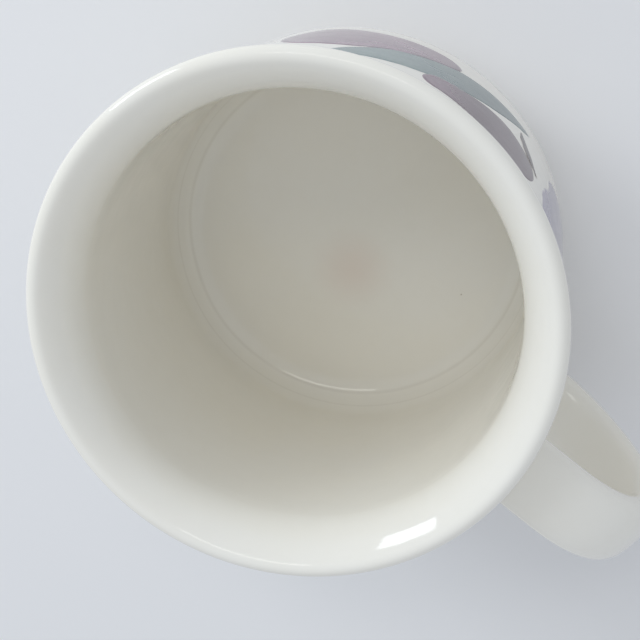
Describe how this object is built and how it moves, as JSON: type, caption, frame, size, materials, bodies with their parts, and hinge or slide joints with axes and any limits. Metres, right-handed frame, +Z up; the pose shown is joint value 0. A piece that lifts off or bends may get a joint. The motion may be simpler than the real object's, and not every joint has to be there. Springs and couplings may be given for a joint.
{
  "type": "ceramic mug",
  "caption": "Glazed ceramic mug with a flared lip, gently bellied wall, foot ring, broad strap handle and a printed flower.",
  "frame": {"origin": "centre of the foot ring, on the surface the mug stands on", "axes": "+Z up the mug's axis to the mouth, +X from the axis to the handle"},
  "size_m": [0.1246, 0.092, 0.076],
  "materials": {
    "ivory_glaze": "clear gloss glaze over ivory clay",
    "handle_glaze": "clear gloss glaze over ivory clay",
    "mauve_print": "fired watercolour transfer under gloss",
    "teal_print": "fired watercolour transfer under gloss",
    "lavender_print": "fired watercolour transfer under gloss",
    "dark_print": "fired line transfer under gloss"
  },
  "bodies": {
    "root": {"cup_body": "ivory_glaze", "handle_strap": "handle_glaze", "upper_joint_slip": "handle_glaze", "lower_joint_slip": "handle_glaze", "upper_petal_decal": "mauve_print", "lower_petal_decal": "mauve_print", "teal_leaf_decal": "teal_print", "lavender_wash_decal": "lavender_print", "dark_stem_decal": "dark_print"}
  },
  "joints": []
}
